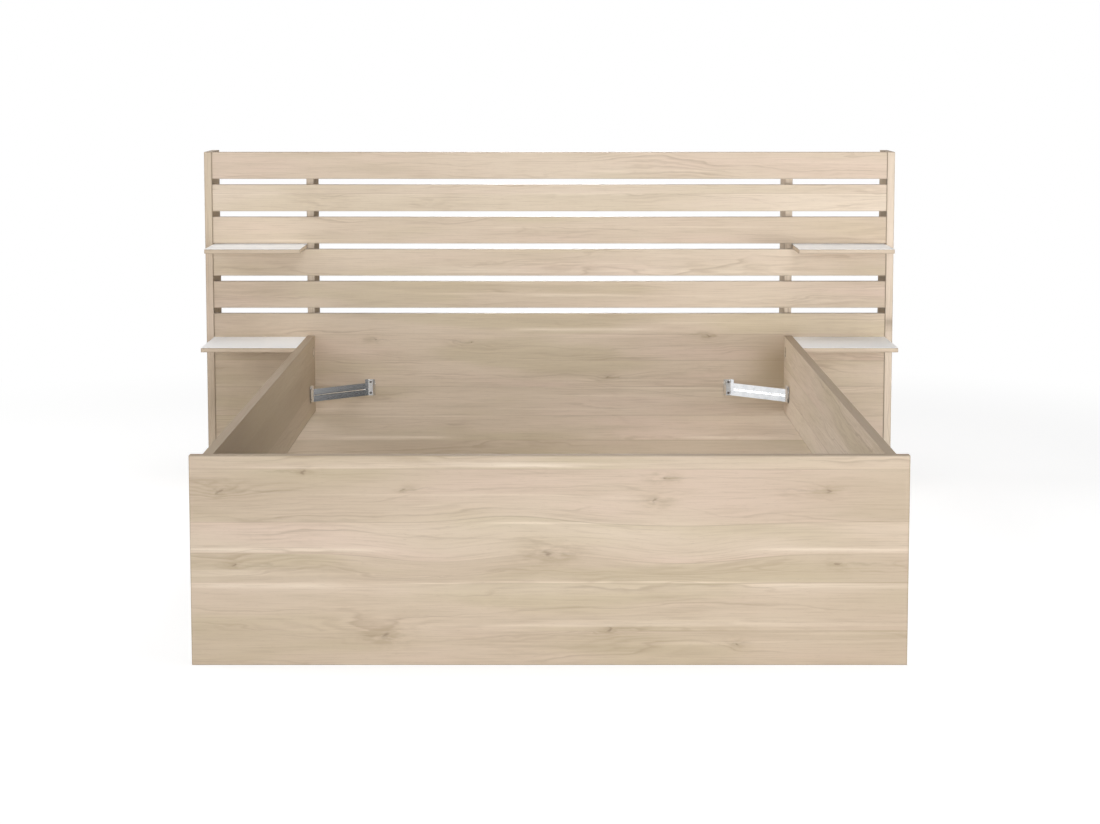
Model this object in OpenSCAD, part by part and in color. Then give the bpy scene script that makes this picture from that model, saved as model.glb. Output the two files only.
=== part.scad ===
// Bed frame in oak decor board, with a slatted headboard that carries four bedside shelves.
// Millimetres. Z is up, Y points from the footboard to the headboard.
// The origin is on the floor, in the middle of the bed's full length and width.

/* [Mattress] */
// Width of the mattress
mattress_w = 1400; // [1200:10:1600]
// Length of the mattress
mattress_l = 1900; // [1800:10:2100]
// Free space between the mattress and the boards around it
mattress_gap = 7; // [3:1:15]

/* [Frame] */
// Height of the top edge of rails and footboard above the floor
bed_h = 448; // [400:1:520]
// Height of a side rail, from its lower edge to its top edge
rail_h = 230; // [190:1:290]
// Thickness of rails, footboard, posts and uprights
board_t = 22; // [20:1:28]
// How far the footboard reaches past each rail
foot_overhang = 26; // [5:1:60]

/* [Headboard] */
// Depth of the posts, from front to back
post_depth = 150; // [120:1:200]
// How far the posts stand proud in front of the slats
post_proud = 2; // [0.5:0.5:6]
// Thickness of the slats and of the head panel
slat_t = 16; // [15:1:20]
// Height of one slat
slat_h = 80; // [60:1:100]
// Gap between the end of a slat and the post
slat_end_gap = 0.5; // [0.2:0.1:0.9]
// How far the head panel rises above the rails
panel_rise = 67; // [30:1:120]
// Gap between the head panel and the floor
panel_floor_gap = 10; // [2:1:30]
// How far the uprights stop below the top of the headboard
upright_drop = 20; // [8:1:30]

/* [Shelves] */
// Length of a shelf, from rail to post
shelf_w = 280; // [200:1:360]
// Gap between a shelf's end and the board beside it
shelf_end_gap = 0.5; // [0.2:0.1:0.9]
// Thickness of a shelf board without its white top
shelf_t = 12; // [10:1:18]
// Thickness of the white top of a shelf
shelf_top_t = 1; // [0.6:0.1:2]
// Free height above an upper shelf, up to the slat over it
shelf_gap_above = 3; // [2.5:0.5:8]
// Free height below an upper shelf, down to the slat under it
shelf_gap_below = 1; // [0.5:0.5:5]
// How far an upper shelf reaches forward from the slats
upper_shelf_reach = 160; // [100:1:220]
// Gap between the back edge of an upper shelf and the back of the posts
upper_shelf_back_gap = 8; // [2:1:30]
// How far a lower shelf reaches forward from the head panel
lower_shelf_reach = 247; // [180:1:350]
// How far the top of a lower shelf lies below the top of the rails
lower_shelf_drop = 4; // [1:1:20]

/* [Corner braces] */
// Distance from the rail to the start of a brace's sloping strip
brace_x = 151; // [120:1:200]
// Distance from the head panel or footboard to the other end of the strip
brace_y = 123; // [100:1:200]
// Height of a brace's lower edge above the rail's lower edge
brace_rise = 48; // [20:1:90]
// Height of the sloping strip
brace_strip_h = 38; // [30:1:44]
// Height of the flanges that are screwed to the boards
brace_flange_h = 49; // [46:1:60]
// Thickness of the steel
brace_t = 2; // [1.5:0.1:3]
// Length of the flat part of a flange
flange_flat = 14; // [12:1:24]
// Length of the lip at the free end of a flange
flange_lip = 7; // [4:1:12]
// How far the lip stands off at its free edge
flange_lip_rise = 3; // [1:0.5:4]
// Length of the bend between strip and flange, along the board
bend_run = 9; // [7:1:14]
// How far the strip starts off the board
bend_rise = 7; // [5:0.5:10]
// Distance between the two screws of a flange
brace_screw_spacing = 33; // [26:1:36]
// Radius of the bead that is pressed into the strip
rib_r = 2.5; // [2.1:0.1:4]
// Radius of the groove behind that bead
rib_groove_r = 1.2; // [0.6:0.1:1.4]

/* [Rail cams] */
// Diameter of the round hole in a rail that holds a cam
cam_hole_d = 30; // [26:1:34]
// Height of a cam
cam_h = 13; // [12:0.5:15]
// Distance from the end of a rail to the axis of its cam
cam_setback = 35; // [30:1:50]
// Distance from the top of a rail to the axis of its cams
cam_drop = 46; // [36:1:70]
// Diameter of a rail bolt
bolt_d = 6; // [5:0.5:7]
// Diameter of a rail bolt's head
bolt_head_d = 8.4; // [8:0.1:9]
// Thickness of a rail bolt's head
bolt_head_t = 4; // [3:0.5:5]
// Distance from a cam's axis to the bolt's head
bolt_head_in = 4.5; // [4:0.1:5]
// How deep the bolts at the head end reach into the uprights
bolt_in_upright = 28; // [20:1:40]
// How deep the bolts at the foot end reach into the footboard
bolt_in_footboard = 16; // [10:1:18]

/* [Small fittings] */
// Diameter of a wooden dowel
dowel_d = 8; // [6:1:10]
// Length of a wooden dowel
dowel_l = 30; // [24:1:40]
// How deep a dowel sits in the face of a board
dowel_in_face = 9; // [7:1:10]
// Diameter of a post screw
post_screw_d = 6; // [5:0.5:7]
// Length of a post screw
post_screw_l = 60; // [45:1:70]
// Diameter of a post screw's head
post_screw_head_d = 10; // [9:0.5:12]
// Thickness of a post screw's head
post_screw_head_t = 3; // [2:0.5:4]
// Diameter of the cap over a post screw
cap_d = 13; // [12:0.5:16]
// Thickness of the cap over a post screw
cap_t = 0.8; // [0.5:0.1:1.5]
// Diameter of a small cam in an upright
small_cam_d = 15; // [14:0.5:18]
// Height of a small cam
small_cam_h = 14; // [12:0.5:15]
// Distance from the underside of a small cam to the axis of its bolt
small_cam_axis_h = 4.5; // [4.2:0.1:6]
// Distance from the front edge of an upright to the axis of its small cams
small_cam_setback = 24; // [20:1:34]
// Diameter of a small cam's bolt
small_bolt_d = 5; // [4:0.5:6]
// Diameter of the head of a small cam's bolt
small_bolt_head_d = 7; // [6.5:0.1:8]
// How deep a small cam's bolt sits in the slat
small_bolt_in_slat = 11; // [9:0.5:13]
// Length of each leg of a shelf bracket
bracket_leg = 25; // [20:1:32]
// Width of a shelf bracket
bracket_w = 20; // [14:1:28]
// Thickness of a shelf bracket
bracket_t = 2; // [1.5:0.1:3]
// Diameter of a wood screw
screw_d = 4; // [3:0.5:4.5]
// Length of a wood screw below its head
screw_l = 11; // [9:0.5:12]
// Diameter of a wood screw's head
screw_head_d = 7.5; // [7:0.1:9]
// Height of a wood screw's head
screw_head_t = 2.2; // [1.5:0.1:3]

/* [Fits] */
// Gap between a rail cam and the wall of its hole
cam_play = 0.05; // [0.02:0.01:0.1]
// Gap between a rail cam and the bottom of its hole
cam_floor_play = 0.2; // [0.1:0.1:0.5]
// Gap all round between a bolt's head or neck and the inside of its cam
cam_inner_play = 0.4; // [0.3:0.1:0.6]
// Gap between a fixing and the wall of its hole
hole_play = 0.1; // [0.05:0.05:0.3]

/* [Hidden] */
$fn = 48;

// Colours
oak = [0.84, 0.76, 0.67];
oak_edge = [0.80, 0.71, 0.62];
white_top = [0.93, 0.92, 0.90];
zinc = [0.75, 0.76, 0.77];
beech = [0.86, 0.72, 0.52];
cap_beige = [0.80, 0.72, 0.62];

// A little more than nothing, so that a cut runs past a face
cut = 1;

// Places across the bed, measured from its middle
inner_x = mattress_w / 2 + mattress_gap;
outer_x = inner_x + board_t;
post_x = outer_x + shelf_w + 2 * shelf_end_gap;
width_x = post_x + board_t;
foot_x = outer_x + foot_overhang;
board_mid_x = inner_x + board_t / 2;

// Places along the bed
inner_l = mattress_l + 2 * mattress_gap;
total_l = board_t + inner_l + post_depth - post_proud;
foot_front_y = -total_l / 2;
foot_y = foot_front_y + board_t;
head_y = foot_y + inner_l;
slat_back_y = head_y + slat_t;
slat_mid_y = head_y + slat_t / 2;
post_front_y = head_y - post_proud;
post_back_y = post_front_y + post_depth;

// Heights
rail_z = bed_h - rail_h;
slat_count = 5;
slat_gap = shelf_gap_below + shelf_t + shelf_top_t + shelf_gap_above;
slat_pitch = slat_h + slat_gap;
panel_top_z = bed_h + panel_rise;
panel_h = panel_top_z - panel_floor_gap;
headboard_h = panel_top_z + slat_count * slat_pitch;
upright_h = headboard_h - upright_drop;
// The upper shelves lie in the gap above this slat, counted from the top
shelf_slat = 4;
upper_shelf_z = slat_top_z(shelf_slat) + shelf_gap_below;
lower_shelf_z = bed_h - lower_shelf_drop - shelf_top_t - shelf_t;

// Cams, bolts and braces
cam_z = bed_h - cam_drop;
cam_hole_depth = board_t / 2 + cam_h / 2;
cam_r = cam_hole_d / 2 - cam_play;
brace_z = rail_z + brace_rise;
// Extra turn of a cam's hollow and slot past the bolt, in degrees
cam_spare_angle = 4;
// How much narrower than its hollow the mouth of a cam is, so that their walls never coincide
cam_mouth_trim = 0.25;
cam_cross_l = 12;
cam_cross_w = 2;
cam_cross_depth = 1;
small_cam_cross_l = 8;
small_cam_cross_w = 1.6;
small_cam_hole_depth = board_t / 2 + small_cam_axis_h;
small_bolt_head_t = 2.5;
small_bolt_head_in = 2;

// Where fixings sit along a board's height, as shares of that height
panel_screw_shares = [0.1, 0.5, 0.9];
panel_dowel_shares = [0.3, 0.7];
rail_dowel_shares = [0.12, 0.55];
slat_screw_share = 0.25;
slat_dowel_share = 0.75;
// Where brackets sit along a shelf, as shares of its length or depth
bracket_shares = [0.2, 0.8];
rail_bracket_share = 0.7;
// Distance from a bracket's corner to its screws
bracket_screw_at = 0.6 * bracket_leg;

function slat_top_z(i) = headboard_h - (i - 1) * slat_pitch;
function slat_z(i, share) = slat_top_z(i) - slat_h + share * slat_h;
function panel_z(share) = panel_floor_gap + share * panel_h;

// Heights of post screws, post dowels and small cams: in one slat, in the panel and in all
function slat_screw_heights(i) = [slat_z(i, slat_screw_share)];
function slat_dowel_heights(i) = [slat_z(i, slat_dowel_share)];
function slat_cam_heights(i) = [slat_z(i, 0.5)];
panel_screw_heights = [for (share = panel_screw_shares) panel_z(share)];
panel_dowel_heights = [for (share = panel_dowel_shares) panel_z(share)];
panel_cam_heights = panel_screw_heights;
screw_heights = concat([for (i = [1:slat_count]) each slat_screw_heights(i)], panel_screw_heights);
dowel_heights = concat([for (i = [1:slat_count]) each slat_dowel_heights(i)], panel_dowel_heights);
cam_heights = concat([for (i = [1:slat_count]) each slat_cam_heights(i)], panel_cam_heights);

// Helpers

// A block between its lowest and its highest corner
module block(low, high) {
    translate(low) cube(high - low);
}

// Turns what stands on +Z to point along +X
module along_x() {
    rotate([0, 90, 0]) children();
}

// Turns what stands on +Z to point along +Y
module along_y() {
    rotate([-90, 0, 0]) children();
}

// Left side as modelled, right side as its mirror image
module on_side(side) {
    mirror([side == "right" ? 1 : 0, 0, 0]) children();
}

// Frame of one inner corner of the bed. X runs from the rail's inner face to the middle,
// Y runs from the face of the head panel or footboard into the bed, Z is up.
module corner(end, side) {
    on_side(side)
        translate([-inner_x, end == "head" ? head_y : foot_y, 0])
            mirror([0, end == "head" ? 1 : 0, 0])
                children();
}

module each_corner() {
    for (end = ["head", "foot"])
        for (side = ["left", "right"])
            corner(end, side) children();
}

module each_side() {
    for (side = ["left", "right"])
        on_side(side) children();
}

// Wooden dowel along +Z, with small chamfers at its ends
module dowel() {
    r = dowel_d / 2;
    chamfer = 1;
    rotate_extrude()
        polygon([
            [0, 0], [r - chamfer, 0], [r, chamfer],
            [r, dowel_l - chamfer], [r - chamfer, dowel_l], [0, dowel_l]
        ]);
}

module dowel_hole(depth) {
    cylinder(d = dowel_d + 2 * hole_play, h = depth);
}

// Pan head wood screw, its head's seat at the origin, its point towards -Z
module wood_screw() {
    socket_l = screw_head_d * 0.55;
    socket_w = 0.9;
    socket_depth = 1;
    difference() {
        union() {
            cylinder(d = screw_head_d, h = screw_head_t);
            translate([0, 0, -screw_l]) cylinder(d = screw_d, h = screw_l + screw_head_t / 2);
        }
        for (turn = [0, 90])
            rotate([0, 0, turn])
                translate([-socket_l / 2, -socket_w / 2, screw_head_t - socket_depth])
                    cube([socket_l, socket_w, socket_depth + cut]);
    }
}

// Hole for a wood screw, from a little above the seat to a little below the point
module wood_screw_hole() {
    translate([0, 0, -screw_l - hole_play])
        cylinder(d = screw_d + 2 * hole_play, h = screw_l + hole_play + cut);
}

// Cross recess for a screwdriver, cut down from z = 0
module cross_recess(length, width, depth) {
    for (turn = [0, 90])
        rotate([0, 0, turn])
            translate([-length / 2, -width / 2, -depth])
                cube([length, width, depth + cut]);
}

// Part of a ring about Z, between two angles
module ring_sector(r_in, r_out, height, from, to) {
    rotate([0, 0, from])
        rotate_extrude(angle = to - from)
            translate([r_in, -height / 2])
                square([r_out - r_in, height]);
}

// Rail corners: cams, bolts, dowels and braces, all in the corner's frame

// Turns a cam's own frame into the corner's frame: its axis along X, its bolt towards -Y
module cam_place() {
    translate([-board_t / 2, cam_setback, cam_z])
        along_x()
            rotate([0, 0, -90])
                children();
}

// Cam of one rail end. Its bolt's head lies in a hollow ring that a slot opens to the rim.
// Half a turn from its locked place brings the round mouth to the bolt and lets its head out.
module rail_cam() {
    hollow_in = bolt_head_in - 2 * cam_inner_play;
    hollow_out = norm([bolt_head_in + bolt_head_t, bolt_head_d / 2]) + cam_inner_play;
    hollow_h = bolt_head_d + 2 * cam_inner_play;
    slot_h = bolt_d + 2 * cam_inner_play;
    head_angle = cam_spare_angle + atan(hollow_h / 2 / bolt_head_in);
    slot_angle = cam_spare_angle + asin(slot_h / 2 / hollow_out);
    color(zinc)
        cam_place()
            difference() {
                translate([0, 0, cam_floor_play - cam_h / 2])
                    cylinder(r = cam_r, h = cam_h - cam_floor_play);
                ring_sector(hollow_in, hollow_out, hollow_h, -head_angle, 180 + head_angle);
                ring_sector(hollow_in + cut, cam_r + cut, slot_h, -slot_angle, 180 + slot_angle);
                translate([-hollow_in - cut, 0, 0])
                    rotate([0, -90, 0]) cylinder(d = hollow_h - cam_mouth_trim, h = cam_r);
                translate([0, 0, cam_h / 2])
                    cross_recess(cam_cross_l, cam_cross_w, cam_cross_depth);
            }
}

module rail_cam_hole() {
    translate([-cam_hole_depth, cam_setback, cam_z])
        along_x()
            cylinder(d = cam_hole_d, h = cam_hole_depth + cut);
}

// Bolt of one rail end, from the cam into the board at y < 0
module rail_bolt(embed) {
    head_y0 = cam_setback - bolt_head_in - bolt_head_t;
    translate([-board_t / 2, -embed, cam_z])
        along_y() {
            cylinder(d = bolt_d, h = embed + head_y0 + cut);
            translate([0, 0, embed + head_y0])
                cylinder(d = bolt_head_d, h = bolt_head_t);
        }
}

module rail_bolt_hole(embed) {
    translate([-board_t / 2, -embed - hole_play, cam_z])
        along_y()
            cylinder(d = bolt_d + 2 * hole_play, h = embed + hole_play + cam_setback);
}

module corner_dowels() {
    for (share = rail_dowel_shares)
        translate([-board_t / 2, -dowel_in_face, rail_z + share * rail_h])
            along_y() dowel();
}

module corner_dowel_holes() {
    for (share = rail_dowel_shares)
        translate([-board_t / 2, -dowel_in_face - hole_play, rail_z + share * rail_h])
            along_y() dowel_hole(dowel_l + 2 * hole_play);
}

// Points of the brace's outline along the middle of the steel, from the lip on the rail
// to the lip on the head panel or footboard
half_t = brace_t / 2;
strip_rail = [half_t + bend_rise, brace_y];
strip_head = [brace_x, half_t + bend_rise];
brace_line = [
    [half_t + flange_lip_rise, brace_y + bend_run + flange_flat + flange_lip],
    [half_t, brace_y + bend_run + flange_flat],
    [half_t, brace_y + bend_run],
    strip_rail,
    strip_head,
    [brace_x + bend_run, half_t],
    [brace_x + bend_run + flange_flat, half_t],
    [brace_x + bend_run + flange_flat + flange_lip, half_t + flange_lip_rise]
];
// Where the strip starts and ends in that outline
strip_from = 3;
strip_to = 4;

function left_of(run) = [-run.y, run.x] / norm(run);

// Point i of the outline moved sideways by d, mitred between its two neighbours
function side_point(i, d) =
    let (
        last = len(brace_line) - 1,
        before = left_of(brace_line[max(i, 1)] - brace_line[max(i, 1) - 1]),
        after = left_of(brace_line[min(i + 1, last)] - brace_line[min(i, last - 1)])
    )
    brace_line[i] + d * (before + after) / (1 + before * after);

// Outline of the steel from point a to point b, d to each side of its middle
module sheet_outline(a, b, d) {
    polygon(concat(
        [for (i = [a:b]) side_point(i, d)],
        [for (i = [b:-1:a]) side_point(i, -d)]
    ));
}

// Places a screw on each flange, with the screw's own Z pointing away from the board
module brace_screw_places() {
    middle = brace_x + bend_run + flange_flat / 2;
    middle_rail = brace_y + bend_run + flange_flat / 2;
    for (way = [-1, 1]) {
        z = brace_z + brace_flange_h / 2 + way * brace_screw_spacing / 2;
        translate([middle, brace_t, z]) along_y() children();
        translate([brace_t, middle_rail, z]) along_x() children();
    }
}

// Turns +Z to run along the middle of the strip, with +X towards the bed's middle
module along_strip() {
    run = strip_head - strip_rail;
    translate([strip_rail.x, strip_rail.y, brace_z + brace_strip_h / 2])
        rotate([0, 0, atan2(run.y, run.x)])
            rotate([0, 90, 0])
                rotate([0, 0, 90])
                    children();
}

module corner_brace() {
    strip_l = norm(strip_head - strip_rail);
    color(zinc)
        difference() {
            union() {
                translate([0, 0, brace_z])
                    linear_extrude(brace_flange_h)
                        sheet_outline(0, len(brace_line) - 1, half_t);
                along_strip()
                    rotate([0, 0, -90])
                        rotate_extrude(angle = 180)
                            square([rib_r, strip_l]);
            }
            translate([0, 0, brace_z + brace_strip_h])
                linear_extrude(brace_flange_h)
                    sheet_outline(strip_from, strip_to, half_t + cut);
            along_strip()
                translate([-half_t, 0, 0])
                    cylinder(r = rib_groove_r, h = strip_l);
            brace_screw_places()
                cylinder(d = screw_d + 2 * hole_play, h = 2 * (brace_t + cut), center = true);
        }
}

module corner_screws() {
    brace_screw_places() wood_screw();
}

module corner_screw_holes() {
    brace_screw_places() wood_screw_hole();
}

// Shelf brackets, modelled for the left side

// Angle bracket under a shelf. Its wall is at y = 0, the shelf's underside at z = 0.
module bracket() {
    hole_l = 2 * (bracket_t + cut);
    difference() {
        translate([-bracket_w / 2, 0, -bracket_leg])
            difference() {
                cube([bracket_w, bracket_leg, bracket_leg]);
                translate([-cut, bracket_t, -cut])
                    cube([bracket_w + 2 * cut, bracket_leg, bracket_leg - bracket_t + cut]);
            }
        translate([0, bracket_t, -bracket_screw_at])
            along_y() cylinder(d = screw_d + 2 * hole_play, h = hole_l, center = true);
        translate([0, bracket_screw_at, -bracket_t])
            cylinder(d = screw_d + 2 * hole_play, h = hole_l, center = true);
    }
}

// Places the two screws of a bracket, with the screw's own Z pointing at its head
module bracket_screw_places() {
    translate([0, bracket_t, -bracket_screw_at]) along_y() children();
    translate([0, bracket_screw_at, -bracket_t]) mirror([0, 0, 1]) children();
}

// Brackets of the lower shelf: on the head panel and on the rail's outer face
module lower_bracket_places() {
    for (share = bracket_shares)
        translate([-outer_x - share * shelf_w, head_y, lower_shelf_z])
            rotate([0, 0, 180]) children();
    translate([-outer_x, head_y - rail_bracket_share * lower_shelf_reach, lower_shelf_z])
        rotate([0, 0, 90]) children();
}

// Brackets of the upper shelf, behind the slats: on the upright and on the post
module upper_bracket_places() {
    y = (slat_back_y + post_back_y) / 2;
    translate([-outer_x, y, upper_shelf_z]) rotate([0, 0, 90]) children();
    translate([-post_x, y, upper_shelf_z]) rotate([0, 0, -90]) children();
}

module bracket_places() {
    lower_bracket_places() children();
    upper_bracket_places() children();
}

module shelf_screw_holes() {
    bracket_places() bracket_screw_places() wood_screw_hole();
}

// Headboard, modelled for the left side where a piece has a mirror image

// Places of the post screws, with Z pointing out of the post
module post_screw_places(heights) {
    for (z = heights)
        translate([-width_x, slat_mid_y, z])
            rotate([0, -90, 0]) children();
}

module post_screw() {
    socket_d = 4.6;
    socket_depth = 2;
    difference() {
        union() {
            translate([0, 0, -post_screw_l])
                cylinder(d = post_screw_d, h = post_screw_l - post_screw_head_t / 2);
            translate([0, 0, -post_screw_head_t])
                cylinder(d = post_screw_head_d, h = post_screw_head_t);
        }
        translate([0, 0, -socket_depth])
            cylinder(d = socket_d, h = socket_depth + cut, $fn = 6);
    }
}

module post_screw_hole() {
    translate([0, 0, -post_screw_l - hole_play])
        cylinder(d = post_screw_d + 2 * hole_play, h = post_screw_l + cut);
    translate([0, 0, -post_screw_head_t])
        cylinder(d = post_screw_head_d + 2 * hole_play, h = post_screw_head_t + cut);
}

// Places of the dowels between post and slats, with Z pointing into the slat
module post_dowel_places(heights) {
    for (z = heights)
        translate([-post_x - dowel_in_face, slat_mid_y, z])
            along_x() children();
}

module post_dowel_hole() {
    translate([0, 0, -hole_play])
        dowel_hole(dowel_l + 2 * hole_play);
}

// Places of the small cams, where their axis meets the bolt's axis
module small_cam_places(heights) {
    for (z = heights)
        translate([-board_mid_x, slat_back_y + small_cam_setback, z]) children();
}

// Small cam in its locked place, with a pocket for its bolt's head and a slot for the neck
module small_cam() {
    top_z = small_cam_h - small_cam_axis_h;
    pocket = small_bolt_head_d + 2 * hole_play;
    slot = small_bolt_d + 2 * hole_play;
    along_x()
        rotate([0, 0, -90])
            difference() {
                translate([0, 0, -small_cam_axis_h])
                    cylinder(d = small_cam_d - 2 * hole_play, h = small_cam_h);
                translate([small_bolt_head_in - hole_play, -pocket / 2, -pocket / 2])
                    cube([small_bolt_head_t + 2 * hole_play, pocket, pocket]);
                translate([small_bolt_head_in, -slot / 2, -slot / 2])
                    cube([small_cam_d, slot, slot]);
                translate([0, 0, top_z])
                    cross_recess(small_cam_cross_l, small_cam_cross_w, cam_cross_depth);
            }
}

module small_cam_hole() {
    translate([-small_cam_axis_h, 0, 0])
        along_x()
            cylinder(d = small_cam_d, h = small_cam_hole_depth + cut);
}

// Bolt of a small cam, from the slat back into the upright
module small_bolt() {
    from_y = -small_cam_setback - small_bolt_in_slat;
    head_y0 = -small_bolt_head_in - small_bolt_head_t;
    translate([0, from_y, 0])
        along_y()
            cylinder(d = small_bolt_d, h = head_y0 - from_y + small_bolt_head_t / 2);
    translate([0, head_y0, 0])
        along_y()
            cylinder(d = small_bolt_head_d, h = small_bolt_head_t);
}

module small_bolt_hole() {
    from_y = -small_cam_setback - small_bolt_in_slat - hole_play;
    translate([0, from_y, 0])
        along_y()
            cylinder(d = small_bolt_d + 2 * hole_play, h = -from_y);
}

// The boards

module post(side) {
    color(oak_edge)
        on_side(side)
            difference() {
                block([-width_x, post_front_y, 0], [-post_x, post_back_y, headboard_h]);
                post_screw_places(screw_heights) post_screw_hole();
                post_dowel_places(dowel_heights) post_dowel_hole();
                upper_bracket_places() bracket_screw_places() wood_screw_hole();
            }
}

module upright(side) {
    color(oak_edge)
        difference() {
            on_side(side)
                difference() {
                    block([-outer_x, slat_back_y, 0], [-inner_x, post_back_y, upright_h]);
                    small_cam_places(cam_heights) small_cam_hole();
                    small_cam_places(cam_heights) small_bolt_hole();
                    upper_bracket_places() bracket_screw_places() wood_screw_hole();
                }
            corner("head", side) rail_bolt_hole(slat_t + bolt_in_upright);
        }
}

// One slat, counted from the top
module slat(i) {
    end_x = post_x - slat_end_gap;
    color(oak)
        difference() {
            block([-end_x, head_y, slat_z(i, 0)], [end_x, slat_back_y, slat_top_z(i)]);
            each_side() {
                post_screw_places(slat_screw_heights(i)) post_screw_hole();
                post_dowel_places(slat_dowel_heights(i)) post_dowel_hole();
                small_cam_places(slat_cam_heights(i)) small_bolt_hole();
            }
        }
}

module head_panel() {
    end_x = post_x - slat_end_gap;
    color(oak)
        difference() {
            block([-end_x, head_y, panel_floor_gap], [end_x, slat_back_y, panel_top_z]);
            each_side() {
                post_screw_places(panel_screw_heights) post_screw_hole();
                post_dowel_places(panel_dowel_heights) post_dowel_hole();
                small_cam_places(panel_cam_heights) small_bolt_hole();
                lower_bracket_places() bracket_screw_places() wood_screw_hole();
            }
            for (side = ["left", "right"])
                corner("head", side) {
                    rail_bolt_hole(slat_t + bolt_in_upright);
                    corner_dowel_holes();
                    corner_screw_holes();
                }
        }
}

// Board of a shelf on the left side, with its underside at z
module shelf_board(z, reach, back_y) {
    color(oak)
        difference() {
            block(
                [-post_x + shelf_end_gap, head_y - reach, z],
                [-outer_x - shelf_end_gap, back_y, z + shelf_t]
            );
            shelf_screw_holes();
        }
}

// White top on that board
module shelf_white(z, reach, back_y) {
    color(white_top)
        block(
            [-post_x + shelf_end_gap, head_y - reach, z + shelf_t],
            [-outer_x - shelf_end_gap, back_y, z + shelf_t + shelf_top_t]
        );
}

module upper_shelf(side) {
    on_side(side) shelf_board(upper_shelf_z, upper_shelf_reach, post_back_y - upper_shelf_back_gap);
}

module upper_shelf_top(side) {
    on_side(side) shelf_white(upper_shelf_z, upper_shelf_reach, post_back_y - upper_shelf_back_gap);
}

module lower_shelf(side) {
    on_side(side) shelf_board(lower_shelf_z, lower_shelf_reach, head_y);
}

module lower_shelf_top(side) {
    on_side(side) shelf_white(lower_shelf_z, lower_shelf_reach, head_y);
}

module rail(side) {
    color(oak)
        difference() {
            on_side(side)
                difference() {
                    block([-outer_x, foot_y, rail_z], [-inner_x, head_y, bed_h]);
                    lower_bracket_places() bracket_screw_places() wood_screw_hole();
                }
            for (end = ["head", "foot"])
                corner(end, side) {
                    rail_cam_hole();
                    rail_bolt_hole(cut);
                    corner_dowel_holes();
                    corner_screw_holes();
                }
        }
}

module footboard() {
    color(oak)
        difference() {
            block([-foot_x, foot_front_y, 0], [foot_x, foot_y, bed_h]);
            for (side = ["left", "right"])
                corner("foot", side) {
                    rail_bolt_hole(bolt_in_footboard);
                    corner_dowel_holes();
                    corner_screw_holes();
                }
        }
}

// Groups of like fixings

module rail_bolts() {
    color(zinc)
        for (side = ["left", "right"]) {
            corner("head", side) rail_bolt(slat_t + bolt_in_upright);
            corner("foot", side) rail_bolt(bolt_in_footboard);
        }
}

module rail_dowels() {
    color(beech) each_corner() corner_dowels();
}

module brace_screws() {
    color(zinc) each_corner() corner_screws();
}

module slat_dowels() {
    color(beech) each_side() post_dowel_places(dowel_heights) dowel();
}

module post_screws() {
    color(zinc) each_side() post_screw_places(screw_heights) post_screw();
}

module post_screw_caps() {
    color(cap_beige) each_side() post_screw_places(screw_heights) cylinder(d = cap_d, h = cap_t);
}

module upright_cams() {
    color(zinc) each_side() small_cam_places(cam_heights) small_cam();
}

module upright_cam_bolts() {
    color(zinc) each_side() small_cam_places(cam_heights) small_bolt();
}

module shelf_brackets() {
    color(zinc) each_side() bracket_places() bracket();
}

module shelf_screws() {
    color(zinc) each_side() bracket_places() bracket_screw_places() wood_screw();
}

post("left");  // left_post
post("right");  // right_post
upright("left");  // left_upright
upright("right");  // right_upright
slat(1);  // slat_1
slat(2);  // slat_2
slat(3);  // slat_3
slat(4);  // slat_4
slat(5);  // slat_5
head_panel();
upper_shelf("left");  // upper_left_shelf
upper_shelf("right");  // upper_right_shelf
lower_shelf("left");  // lower_left_shelf
lower_shelf("right");  // lower_right_shelf
upper_shelf_top("left");  // upper_left_shelf_top
upper_shelf_top("right");  // upper_right_shelf_top
lower_shelf_top("left");  // lower_left_shelf_top
lower_shelf_top("right");  // lower_right_shelf_top
rail("left");  // left_rail
rail("right");  // right_rail
footboard();
corner("head", "left") corner_brace();  // head_left_brace
corner("head", "right") corner_brace();  // head_right_brace
corner("foot", "left") corner_brace();  // foot_left_brace
corner("foot", "right") corner_brace();  // foot_right_brace
corner("head", "left") rail_cam();  // head_left_cam
corner("head", "right") rail_cam();  // head_right_cam
corner("foot", "left") rail_cam();  // foot_left_cam
corner("foot", "right") rail_cam();  // foot_right_cam
rail_bolts();
rail_dowels();
brace_screws();
slat_dowels();
post_screws();
post_screw_caps();
upright_cams();
upright_cam_bolts();
shelf_brackets();
shelf_screws();
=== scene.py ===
"""Looks of the oak decor bed frame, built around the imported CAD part.

Metres. Z is up and Y points from the footboard to the headboard, as in the CAD.
"""
import math
import random

import bpy
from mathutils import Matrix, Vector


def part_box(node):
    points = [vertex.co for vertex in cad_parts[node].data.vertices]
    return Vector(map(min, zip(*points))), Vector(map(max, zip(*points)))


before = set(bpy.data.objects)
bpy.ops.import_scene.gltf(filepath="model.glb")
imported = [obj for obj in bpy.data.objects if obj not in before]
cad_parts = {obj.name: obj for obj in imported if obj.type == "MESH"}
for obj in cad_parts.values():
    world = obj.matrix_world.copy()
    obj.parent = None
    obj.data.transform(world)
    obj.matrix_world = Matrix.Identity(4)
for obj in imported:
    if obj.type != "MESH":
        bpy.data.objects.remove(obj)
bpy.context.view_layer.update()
bpy.context.scene.view_settings.view_transform = "Standard"

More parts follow.
